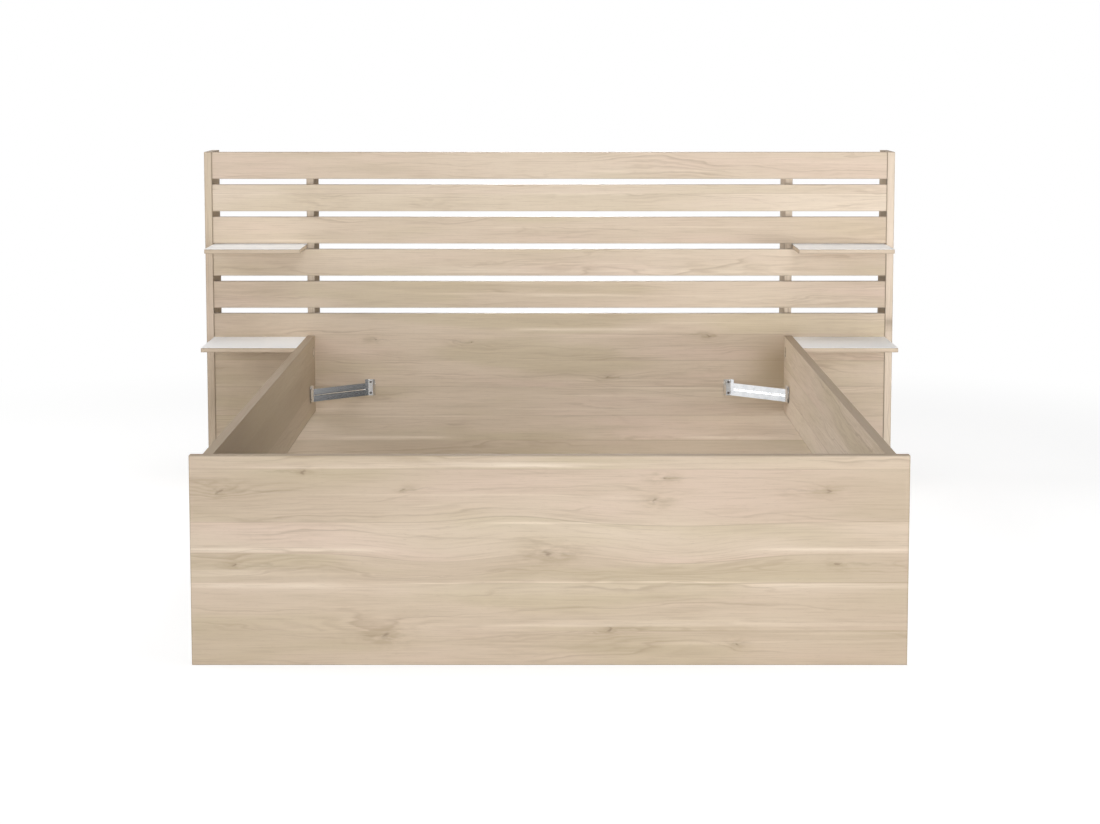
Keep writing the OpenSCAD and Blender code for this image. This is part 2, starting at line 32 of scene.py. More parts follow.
# Which boards run which way
BOARDS_ALONG_X = [
    "slat_1", "slat_2", "slat_3", "slat_4", "slat_5", "head_panel", "footboard",
    "upper_left_shelf", "upper_right_shelf", "lower_left_shelf", "lower_right_shelf",
]
BOARDS_ALONG_Y = ["left_rail", "right_rail"]
BOARDS_ALONG_Z = ["left_post", "right_post", "left_upright", "right_upright"]
WHITE_TOPS = [
    "upper_left_shelf_top", "upper_right_shelf_top",
    "lower_left_shelf_top", "lower_right_shelf_top",
]
SHEET_STEEL = [
    "head_left_brace", "head_right_brace", "foot_left_brace", "foot_right_brace", "shelf_brackets",
]
TURNED_STEEL = ["rail_bolts", "post_screws", "upright_cam_bolts", "shelf_screws"]
DARK_STEEL = ["brace_screws"]
RAIL_CAMS = ["head_left_cam", "head_right_cam", "foot_left_cam", "foot_right_cam"]
CAST_ZINC = RAIL_CAMS + ["upright_cams"]
BEECH = ["rail_dowels", "slat_dowels"]
CAPS = ["post_screw_caps"]

# Air round the rail cams beside what the CAD gives them
CAM_AIR = 0.0001

# Rounding of edges in metres, least on the rails, where the cams turn in their holes
BOARD_ROUNDING = 0.0008
RAIL_ROUNDING = 0.00025
TOP_ROUNDING = 0.0003
SHEET_ROUNDING = 0.0004

# Angle in degrees from which an edge is rounded, and the gap in metres that a weld closes
SHARP_EDGE = 40
WELD_GAP = 0.00001

# Even light of the world, how bright the right side looks in reflections, and the painted shadow
# that reflections show on the floor inside the frame
SKY_EVEN = 0.08
DARK_SIDE = 0.05
UNDER_BED_SHADOW = 0.35

# Where those two begin in reflections: on the world, on the floor, and beside the rails
WORLD_BORDER = (-0.2, 0.7)
FLOOR_BORDER = (-0.3, 0.3)
INSIDE_BORDER = (0.70, 0.78)

# Floor: half its side, the distances from the middle between which it turns plain white, the
# share of light that it takes from the lamps near the object and what it gives of its own, and
# its grey as the object's surroundings
FLOOR_HALF = 60.0
FLOOR_FADE = (2.2, 3.6)
FLOOR_SHADE = 0.42
FLOOR_GLOW = 0.72
FLOOR_GREY = 0.8

# Lamps: name, place, aimed at, width, height, power in watts
LAMPS = [
    ("front", (0.0, -6.5, 1.4), (0.0, 0.0, 0.5), 4.0, 1.6, 133.0),
    ("front_low", (0.0, -6.5, 0.7), (0.0, 0.0, 0.5), 4.0, 1.2, 51.0),
    ("near_right", (3.0, -1.6, 0.36), (0.3, 0.9, 0.55), 1.4, 0.5, 36.0),
    ("left", (-4.0, 0.2, 3.0), (0.0, 0.2, 0.4), 3.0, 2.0, 90.0),
    ("top", (0.9, -0.6, 4.6), (0.2, 0.0, 0.3), 3.5, 3.5, 96.0),
]

# Distant light from behind: how high it stands in degrees, how wide it is, and its strength
BACK_HEIGHT = 4.0
BACK_WIDTH = 6.0
BACK_STRENGTH = 1.7

# Camera: higher than the headboard, looking at the bed from its foot end
CAMERA_AT = (0.0, -5.3585, 1.2670)
CAMERA_PITCH = 5.5
CAMERA_LENS = 68.472
CAMERA_SENSOR = 36.0
CAMERA_SHIFT = (0.00045, -0.1348)


def srgb(red, green, blue):
    """Linear colour with alpha from 0 to 255 display values."""
    def linear(value):
        share = value / 255
        if share <= 0.04045:
            return share / 12.92
        return ((share + 0.055) / 1.055) ** 2.4

    return (linear(red), linear(green), linear(blue), 1.0)


# Colours of the decor; cloud, streak and the darkest one also give painted shade and light
OAK_BASE = srgb(219, 201, 180)
OAK_ROSE = srgb(223, 202, 184)
OAK_OLIVE = srgb(210, 194, 168)
OAK_CLOUD_AND_SHADE = srgb(184, 166, 140)
OAK_LINE = srgb(174, 152, 128)
OAK_STREAK_AND_LIGHT = srgb(240, 225, 206)
OAK_KNOT = srgb(128, 108, 90)
OAK_PORE = srgb(160, 138, 115)
OAK_DARK_EDGE_AND_SHADE = srgb(150, 132, 112)

# How deep each part of the decor lies over the ground, and the most that some may reach
VEIL_DEPTH = 0.42
CLOUD_DEPTH = 0.66
VEIL_MOST = 0.80
THREAD_DEPTH = 0.45
STREAK_DEPTH = 0.75
STREAK_MOST = 0.9
LINE_DEPTH = 0.26
CLOUD_LINE_DEPTH = 0.25
LINE_MOST = 0.5
VEIN_DEPTH = 0.34
HAIRLINE_DEPTH = 0.40
FIBRE_DEPTH = 0.26
PORE_DEPTH = 0.35
KNOT_DEPTH = 0.56
# Darkening along the edges, and painted shade on faces that face up or down: the top and bottom
# edges of boards and the ends of posts and uprights
DARK_EDGE_DEPTH = 0.50
TOP_SHADE_DEPTH = 0.78
END_SHADE_DEPTH = 0.92

# How far the tone of a strip changes along it
STRIP_DRIFT = 0.9

# Roughness of the decor, how much its fibres add, and its relief: strength, and height in metres
OAK_ROUGHNESS = 0.54
FIBRE_ROUGHNESS = 0.12
RELIEF_STRENGTH = 0.12
RELIEF = 0.0004

# Waves per metre of the decor's noises, along and across the grain
HUE_WAVES = (1.5, 9.0)
VEIL_WAVES = (2.4, 26.0)
THREAD_WAVES = (0.9, 55.0)
PATCH_WAVES = (2.6, 14.0)
WANDER_WAVES = (0.9, 6.0)
DRIFT_WAVES = (4.5, 24.0)
FIBRE_WAVES = (9.0, 330.0)
PORE_WAVES = (45.0, 1500.0)
BROKEN_WAVES = (28.0, 90.0)
SHAKE_WAVES = (22.0, 60.0)
CELL_WAVES = (1.7, 5.5)

# Waves per metre of the noises that only change along the grain
BLUR_WAVES = 1.3
TONE_WAVES = 0.9
HAIR_WAVES = 1.6
SWAY_WAVES = 2.0

# Steps from one noise to the next, so that each border, strip and part of the decor has its own
BORDER_STEP = 31.0
TONE_STEP = 9.0
HAIR_STEP = 7.0
THREAD_STEP = 7.0
PATCH_STEP = 5.0

# Noise values between which a part of the decor comes in
OLIVE_RANGE = (0.35, 0.52)
ROSE_RANGE = (0.52, 0.72)
VEIL_RANGE = (0.42, 0.78)
THREAD_RANGE = (0.62, 0.76)
LINE_RANGE = (0.48, 0.70)
VEIN_RANGE = (0.36, 0.62)
FIBRE_RANGE = (0.45, 0.75)
PORE_RANGE = (0.66, 0.74)
BROKEN_RANGE = (0.30, 0.62)
BLUR_RANGE = (0.46, 0.62)
HAIR_RANGE = (0.40, 0.58)
CELL_RANGE = (0.5, 0.7)

# Growth lines: how many there are per metre across the board and through its thickness, by how
# many lines noise moves them, how sharp they are, and the share of them that shows as dark
# veins, with the width of these
LINES_ACROSS = 70.0
LINES_THROUGH = 90.0
LINES_WANDER = 14.0
LINES_DRIFT = 4.5
LINE_SHARPNESS = 3.0
VEIN_SHARE = 0.30
VEIN_WIDTH = 0.22

# Border between two strips, in metres: its least and further blur, and its hairline
BLUR_LEAST = 0.0004
BLUR_MORE = 0.012
HAIRLINE = (0.0003, 0.0022)

# Knots: how far noise shakes them along and across, and the share that scattered knots keep on
# a board with placed ones
KNOT_SHAKE = (0.070, 0.022)
SCATTERED_SHARE = 0.3

# A placed knot: how far its swell, cloud and core reach, in sizes of the knot, by how many lines
# the swell bends the growth lines, and how much a step along the grain counts beside one across
SWELL_REACH = 1.8
CLOUD_REACH = 1.3
CORE_REACH = 0.34
SWELL_LINES = 1.1
CLOUD_RUN = 0.42
CORE_RUN = 0.80

# Its tail: reach as a share of its length, half width in metres, and depth
TAIL_REACH = 0.45
TAIL_HALF_WIDTH = 0.0022
TAIL_DEPTH = 0.34

# The same for a scattered knot, in widths of a noise cell
CELL_SWELL_REACH = 0.24
CELL_CLOUD_REACH = 0.18
CELL_CORE_REACH = 0.030
CELL_SWELL_LINES = 1.6

# Ends of a streak along the grain, and how far it sways across it
STREAK_FADE = (0.06, 0.10)
STREAK_SWAY = 0.008

# Distance from an edge up to which a board is darker, and the share of a normal that counts as
# facing one way
DARK_EDGE_REACH = (0.0006, 0.0026)
FACING = (0.5, 0.9)


class Graph:
    """Short calls for making and linking the nodes of one tree."""

    def __init__(self, tree):
        self.tree = tree
        self.tree.nodes.clear()

    def node(self, kind, inputs=None, **settings):
        made = self.tree.nodes.new(kind)
        for name, value in settings.items():
            setattr(made, name, value)
        for key, value in (inputs or {}).items():
            self.feed(made.inputs[key], value)
        return made

    def feed(self, socket, value):
        if isinstance(value, bpy.types.NodeSocket):
            self.tree.links.new(value, socket)
        else:
            socket.default_value = value

    def math(self, operation, *values):
        made = self.node("ShaderNodeMath", operation=operation)
        for socket, value in zip(made.inputs, values):
            self.feed(socket, value)
        return made.outputs[0]

    def add(self, a, b):
        return self.math("ADD", a, b)

    def sub(self, a, b):
        return self.math("SUBTRACT", a, b)

    def mul(self, a, b):
        return self.math("MULTIPLY", a, b)

    def between(self, value, low, high):
        """Goes smoothly from 0 at low to 1 at high."""
        made = self.node("ShaderNodeMapRange", interpolation_type="SMOOTHSTEP")
        self.feed(made.inputs["Value"], value)
        self.feed(made.inputs["From Min"], low)
        self.feed(made.inputs["From Max"], high)
        return made.outputs["Result"]

    def between_values(self, share, a, b):
        """Value a where share is 0 and b where it is 1."""
        made = self.node("ShaderNodeMix", data_type="FLOAT")
        self.feed(made.inputs[0], share)
        self.feed(made.inputs[2], a)
        self.feed(made.inputs[3], b)
        return made.outputs[0]

    def bell(self, distance, width):
        """1 at distance 0, falling to 0 like a bell of that width."""
        share = self.math("DIVIDE", distance, width)
        return self.math("EXPONENT", self.mul(self.mul(share, share), -1.0))

    def vector(self, x, y, z):
        return self.node("ShaderNodeCombineXYZ", {0: x, 1: y, 2: z}).outputs[0]

    def noise(self, vector, scale=1.0, detail=2.0, roughness=0.5):
        made = self.node("ShaderNodeTexNoise", {
            "Vector": vector, "Scale": scale, "Detail": detail, "Roughness": roughness,
        })
        return made.outputs["Fac"]

    def mix(self, share, a, b):
        made = self.node("ShaderNodeMix", data_type="RGBA")
        self.feed(made.inputs[0], share)
        self.feed(made.inputs[6], a)
        self.feed(made.inputs[7], b)
        return made.outputs[2]

    def bump(self, height, strength, distance):
        made = self.node("ShaderNodeBump", {
            "Height": height, "Strength": strength, "Distance": distance,
        })
        return made.outputs[0]


def new_material(name):
    material = bpy.data.materials.new(name)
    material.use_nodes = True
    return material, Graph(material.node_tree)


def finish_surface(graph, color, roughness, normal=None, **fixed):
    """Principled surface with the linked inputs, and fixed values set on its own sockets."""
    shader = graph.node("ShaderNodeBsdfPrincipled")
    graph.feed(shader.inputs["Base Color"], color)
    graph.feed(shader.inputs["Roughness"], roughness)
    if normal is not None:
        graph.feed(shader.inputs["Normal"], normal)
    for key, value in fixed.items():
        shader.inputs[key.replace("_", " ")].default_value = value
    output = graph.node("ShaderNodeOutputMaterial")
    graph.tree.links.new(shader.outputs[0], output.inputs["Surface"])


# Camera

def make_camera():
    data = bpy.data.cameras.new("camera")
    data.sensor_width = CAMERA_SENSOR
    data.lens = CAMERA_LENS
    data.shift_x, data.shift_y = CAMERA_SHIFT
    data.clip_start = 0.05
    data.clip_end = 200
    camera = bpy.data.objects.new("camera", data)
    camera.location = CAMERA_AT
    camera.rotation_euler = (math.radians(90 - CAMERA_PITCH), 0, 0)
    bpy.context.scene.collection.objects.link(camera)
    bpy.context.scene.camera = camera


# Oak decor

class Board:
    """The graph and look of one board, and the places on it: u along the grain, v across the
    board's face and w through its thickness, in metres. Its lines follow v, which is pushed
    aside where the grain bends, and what is placed one by one follows plain_v."""

    def __init__(self, graph, node, along, seed, look):
        self.graph = graph
        self.along = along
        self.seed = seed
        self.look = look
        point = graph.node("ShaderNodeTexCoord").outputs["Object"]
        split = graph.node("ShaderNodeSeparateXYZ", {0: point}).outputs
        self.low, self.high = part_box(node)
        sizes = self.high - self.low
        others = sorted((i for i in range(3) if i != along), key=lambda i: -sizes[i])
        self.axes = [along] + others
        self.u, self.plain_v, self.w = (split[axis] for axis in self.axes)
        self.v = self.plain_v
        if look["bends"]:
            self.v = graph.add(self.patches(look["bends"]), self.plain_v)
        self.edge = self.edge_distance(split)
        face = graph.node("ShaderNodeNewGeometry").outputs["True Normal"]
        self.facing = graph.node("ShaderNodeSeparateXYZ", {0: face}).outputs

    def margin(self, split, axis):
        """Distance to the nearer of the board's two faces on that axis."""
        from_low = self.graph.sub(split[axis], self.low[axis])
        from_high = self.graph.sub(self.high[axis], split[axis])
        return self.graph.math("MINIMUM", from_low, from_high)

    def edge_distance(self, split):
        """Distance to the nearest edge, which is the middle one of the three margins."""
        graph = self.graph
        a, b, c = (self.margin(split, axis) for axis in self.axes)
        small = graph.math("MINIMUM", a, b)
        large = graph.math("MAXIMUM", a, b)
        return graph.math("MAXIMUM", small, graph.math("MINIMUM", large, c))

    def patches(self, places):
        """Soft patches at given places: along, across, half length, half width and amount."""
        graph = self.graph
        total = 0.0
        for place_u, place_v, half_u, half_v, amount in places:
            soft = graph.mul(
                graph.bell(graph.sub(self.u, place_u), half_u),
                graph.bell(graph.sub(self.plain_v, place_v), half_v),
            )
            total = graph.add(graph.mul(soft, amount), total)
        return total

    def grain(self, waves, third, detail, roughness=0.5):
        """Noise that is drawn out along the grain."""
        graph = self.graph
        along, across = waves
        place = graph.vector(graph.mul(self.u, along), graph.mul(self.v, across), third)
        return graph.noise(place, detail=detail, roughness=roughness)

    def slow(self, waves, lane):
        """Slow noise along the board that doesn't change across it. Each lane has its own."""
        graph = self.graph
        return graph.noise(graph.vector(graph.mul(self.u, waves), lane, self.seed), detail=1.0)


def strip_pattern(board):
    """Tone of the sawn strips that the decor shows, darker below 0 and paler above it, the
    hairline between two strips, and a number for each strip."""
    graph = board.graph
    strips = board.look["strips"]
    number = board.seed
    nearest = 1.0
    tone = strips[0][1]
    for (_, below), (border, above) in zip(strips, strips[1:]):
        past = graph.sub(board.v, border)
        number = graph.add(graph.math("GREATER_THAN", board.v, border), number)
        loose = graph.between(board.slow(BLUR_WAVES, border * BORDER_STEP), *BLUR_RANGE)
        blur = graph.add(graph.mul(loose, BLUR_MORE), BLUR_LEAST)
        over = graph.between(past, graph.mul(blur, -1.0), blur)
        tone = graph.add(graph.mul(over, above - below), tone)
        nearest = graph.math("MINIMUM", graph.math("ABSOLUTE", past), nearest)
    white = graph.node("ShaderNodeTexWhiteNoise", {"W": number}, noise_dimensions="1D")
    pick = white.outputs["Value"]
    drift = graph.sub(board.slow(TONE_WAVES, graph.mul(pick, TONE_STEP)), 0.5)
    tone = graph.add(graph.mul(drift, STRIP_DRIFT), tone)
    hairline = graph.sub(1.0, graph.between(nearest, *HAIRLINE))
    mask = graph.between(board.slow(HAIR_WAVES, graph.mul(pick, HAIR_STEP)), *HAIR_RANGE)
    return tone, graph.mul(hairline, mask), number


def knot_space(board):
    """The board's own places, shaken a little so that no knot is a plain oval."""
    graph = board.graph
    along, across = SHAKE_WAVES
    place = graph.vector(graph.mul(board.u, along), graph.mul(board.plain_v, across), board.seed)
    shake = graph.node("ShaderNodeTexNoise", {"Vector": place, "Scale": 1.0, "Detail": 3.0})
    red, green, _ = graph.node("ShaderNodeSeparateXYZ", {0: shake.outputs["Color"]}).outputs
    shake_u, shake_v = KNOT_SHAKE
    return (
        graph.add(board.u, graph.mul(graph.sub(red, 0.5), shake_u)),
        graph.add(board.plain_v, graph.mul(graph.sub(green, 0.5), shake_v)),
    )


def distance(graph, run, rise):
    return graph.math("SQRT", graph.add(graph.mul(run, run), graph.mul(rise, rise)))


def placed_knots(graph, u, v, knots):
    """Swell of the growth lines, cloud and dark core of knots at given places. Each has a thin
    dark tail along the grain."""
    swell = 0.0
    cloud = 0.0
    core = 0.0
    for knot_u, knot_v, size, tail in knots:
        run = graph.sub(u, knot_u)
        rise = graph.sub(v, knot_v)
        reach = distance(graph, graph.mul(run, CLOUD_RUN), rise)
        near = distance(graph, graph.mul(run, CORE_RUN), rise)
        drag = graph.mul(
            graph.bell(graph.sub(run, tail / 2), abs(tail) * TAIL_REACH),
            graph.bell(rise, TAIL_HALF_WIDTH),
        )
        bulge = graph.bell(reach, size * SWELL_REACH)
        swell = graph.add(graph.mul(bulge, SWELL_LINES), swell)
        cloud = graph.add(graph.bell(reach, size * CLOUD_REACH), cloud)
        core = graph.add(graph.bell(near, size * CORE_REACH), core)
        core = graph.add(graph.mul(drag, TAIL_DEPTH), core)
    return swell, cloud, core


def scattered_knots(graph, u, v, seed):
    """The same for knots that lie anywhere on the board."""
    along, across = CELL_WAVES
    place = graph.vector(graph.mul(u, along), graph.mul(v, across), seed)
    cells = graph.node("ShaderNodeTexVoronoi", {"Vector": place, "Scale": 1.0})
    pick = graph.node("ShaderNodeSeparateXYZ", {0: cells.outputs["Color"]}).outputs[1]
    here = graph.between(pick, *CELL_RANGE)
    reach = cells.outputs["Distance"]
    swell = graph.mul(graph.mul(graph.bell(reach, CELL_SWELL_REACH), CELL_SWELL_LINES), here)
    cloud = graph.mul(graph.bell(reach, CELL_CLOUD_REACH), here)
    core = graph.mul(graph.bell(reach, CELL_CORE_REACH), here)
    return swell, cloud, core


def board_knots(board):
    """All knots of a board, with their clouds broken up."""
    graph = board.graph
    u, v = knot_space(board)
    swell, cloud, core = scattered_knots(graph, u, v, board.seed)
    if board.look["knots"]:
        own_swell, own_cloud, core = placed_knots(graph, u, v, board.look["knots"])
        swell = graph.add(graph.mul(swell, SCATTERED_SHARE), own_swell)
        cloud = graph.add(graph.mul(cloud, SCATTERED_SHARE), own_cloud)
    broken = graph.between(board.grain(BROKEN_WAVES, board.seed, 3.0), *BROKEN_RANGE)
    return swell, graph.mul(cloud, broken), core


def growth_lines(board, number, swell):
    """Soft lines along the board that bend round its knots, and thin dark ones further apart."""
    graph = board.graph
    wander = board.grain(WANDER_WAVES, number, 2.0)
    drift = board.grain(DRIFT_WAVES, number, 3.0)
    phase = graph.add(graph.mul(board.v, LINES_ACROSS), graph.mul(board.w, LINES_THROUGH))
    phase = graph.add(phase, graph.mul(wander, LINES_WANDER))
    phase = graph.add(phase, graph.mul(drift, LINES_DRIFT))
    phase = graph.add(phase, swell)
    wave = graph.math("ABSOLUTE", graph.math("SINE", graph.mul(phase, math.pi)))
    slow = graph.math("ABSOLUTE", graph.math("SINE", graph.mul(phase, math.pi * VEIN_SHARE)))
    veins = graph.sub(1.0, graph.between(slow, 0.0, VEIN_WIDTH))
    return graph.math("POWER", wave, LINE_SHARPNESS), veins


def placed_streaks(board):
    """Pale streaks along the grain at given places: height, half width, start and end."""
    graph = board.graph
    outer, inner = STREAK_FADE
    place = graph.vector(graph.mul(board.u, SWAY_WAVES), board.seed, 0.0)
    sway = graph.mul(graph.sub(graph.noise(place, detail=1.0), 0.5), STREAK_SWAY)
    pale = 0.0
    for height, half, start, end in board.look["streaks"]:
        off = graph.sub(graph.sub(board.plain_v, height), sway)
        inside = graph.mul(
            graph.between(board.u, start - outer, start + inner),
            graph.sub(1.0, graph.between(board.u, end - inner, end + outer)),
        )
        pale = graph.add(graph.mul(graph.bell(off, half), inside), pale)
    return pale


def ground_color(board, number, cloud):
    """Changing ground of the decor with its veils, and the clouds of its knots."""
    graph = board.graph
    hue = board.grain(HUE_WAVES, number, 2.0)
    color = graph.mix(graph.between(hue, *OLIVE_RANGE), OAK_OLIVE, OAK_BASE)
    color = graph.mix(graph.between(hue, *ROSE_RANGE), color, OAK_ROSE)
    veil = graph.between(board.grain(VEIL_WAVES, number, 5.0, 0.6), *VEIL_RANGE)
    veil = graph.add(graph.mul(veil, VEIL_DEPTH), graph.mul(cloud, CLOUD_DEPTH))
    return graph.mix(graph.math("MINIMUM", veil, VEIL_MOST), color, OAK_CLOUD_AND_SHADE)


def with_streaks(board, color, number):
    """Fine pale threads, and the placed streaks."""
    graph = board.graph
    thread = board.grain(THREAD_WAVES, graph.add(number, THREAD_STEP), 1.0)
    streaks = graph.mul(graph.between(thread, *THREAD_RANGE), THREAD_DEPTH)
    if board.look["streaks"]:
        streaks = graph.add(streaks, graph.mul(placed_streaks(board), STREAK_DEPTH))
    return graph.mix(graph.math("MINIMUM", streaks, STREAK_MOST), color, OAK_STREAK_AND_LIGHT)


def board_tone(board, strips):
    """Tone of the strips and the whole board with its shades, partly painted shade and light,
    the painted light on its narrow edges, and the painted shade on the side that faces the middle
    of the bed, painted light there on the right rail."""
    graph = board.graph
    look = board.look
    # Painted shade on the side that faces the middle of the bed, painted light where the amount is
    # above 0
    sideways = board.facing[0]
    if board.low[0] + board.high[0] >= 0:
        sideways = graph.mul(sideways, -1.0)
    inside = graph.mul(board.patches(look["inside"]), graph.between(sideways, *FACING))
    # Painted light on the narrow edges
    edgeways = graph.math("ABSOLUTE", board.facing[board.axes[1]])
    band = graph.mul(graph.between(edgeways, *FACING), look["band"])
    tone = graph.add(graph.add(strips, look["pale"]), board.patches(look["shades"]))
    return graph.add(graph.add(tone, inside), band)


def with_tone(graph, color, tone):
    """Paler above 0, duller below it and darker still below -1. The tone holds painted shade and
    light as well as the decor's own tone.
    """
    color = graph.mix(graph.math("MAXIMUM", tone, 0.0), color, OAK_STREAK_AND_LIGHT)
    color = graph.mix(graph.math("MAXIMUM", graph.mul(tone, -1.0), 0.0), color, OAK_CLOUD_AND_SHADE)
    return graph.mix(graph.math("MAXIMUM", graph.sub(-1.0, tone), 0.0), color, OAK_DARK_EDGE_AND_SHADE)


def with_lines(board, color, number, swell, cloud, hairline):
    """Growth lines, veins and the hairlines between the strips."""
    graph = board.graph
    lines, veins = growth_lines(board, number, swell)
    patch = board.grain(PATCH_WAVES, graph.add(number, PATCH_STEP), 2.0)
    strength = graph.mul(graph.between(patch, *LINE_RANGE), LINE_DEPTH)
    strength = graph.add(strength, graph.mul(cloud, CLOUD_LINE_DEPTH))
    strength = graph.math("MINIMUM", strength, LINE_MOST)
    color = graph.mix(graph.mul(lines, strength), color, OAK_LINE)
    depth = graph.mul(graph.between(patch, *VEIN_RANGE), VEIN_DEPTH)
    color = graph.mix(graph.mul(veins, depth), color, OAK_LINE)
    return graph.mix(graph.mul(hairline, HAIRLINE_DEPTH), color, OAK_LINE)


def fine_noise(board, waves, detail):
    """Noise that also changes through the board's thickness."""
    return board.grain(waves, board.graph.mul(board.w, waves[1]), detail)


def with_edges(board, color):
    """Darker along every edge, and painted shade on the faces that face up or down."""
    graph = board.graph
    along_edge = graph.sub(1.0, graph.between(board.edge, *DARK_EDGE_REACH))
    # Painted shade: faces that face up or down are darker, as if less light fell on them
    up_down_shade = graph.between(graph.math("ABSOLUTE", board.facing[2]), *FACING)
    depth = END_SHADE_DEPTH if board.along == 2 else TOP_SHADE_DEPTH
    edge_and_shade = graph.math("MAXIMUM", graph.mul(along_edge, DARK_EDGE_DEPTH), graph.mul(up_down_shade, depth))
    return graph.mix(edge_and_shade, color, OAK_DARK_EDGE_AND_SHADE)


def oak_material(name, node, along, seed, look):
    """Decor of one board. The look gives its placed knots, strips, streaks and shades."""
    material, graph = new_material(name)
    board = Board(graph, node, along, seed, look)
    swell, cloud, core = board_knots(board)
    strips, hairline, number = strip_pattern(board)
    fibre = fine_noise(board, FIBRE_WAVES, 3.0)
    pore = graph.between(fine_noise(board, PORE_WAVES, 1.0), *PORE_RANGE)

    color = ground_color(board, number, cloud)
    color = with_streaks(board, color, number)
    color = with_tone(graph, color, board_tone(board, strips))
    color = with_lines(board, color, number, swell, cloud, hairline)
    color = graph.mix(graph.mul(graph.between(fibre, *FIBRE_RANGE), FIBRE_DEPTH), color, OAK_LINE)
    color = graph.mix(graph.mul(pore, PORE_DEPTH), color, OAK_PORE)
    color = graph.mix(graph.mul(graph.math("MINIMUM", core, 1.0), KNOT_DEPTH), color, OAK_KNOT)
    color = with_edges(board, color)

    roughness = graph.add(graph.mul(fibre, FIBRE_ROUGHNESS), OAK_ROUGHNESS)
    height = graph.sub(graph.mul(fibre, 0.5), pore)
    normal = graph.bump(height, RELIEF_STRENGTH, RELIEF)
    finish_surface(graph, color, roughness, normal, Specular_IOR_Level=0.2)
    return material


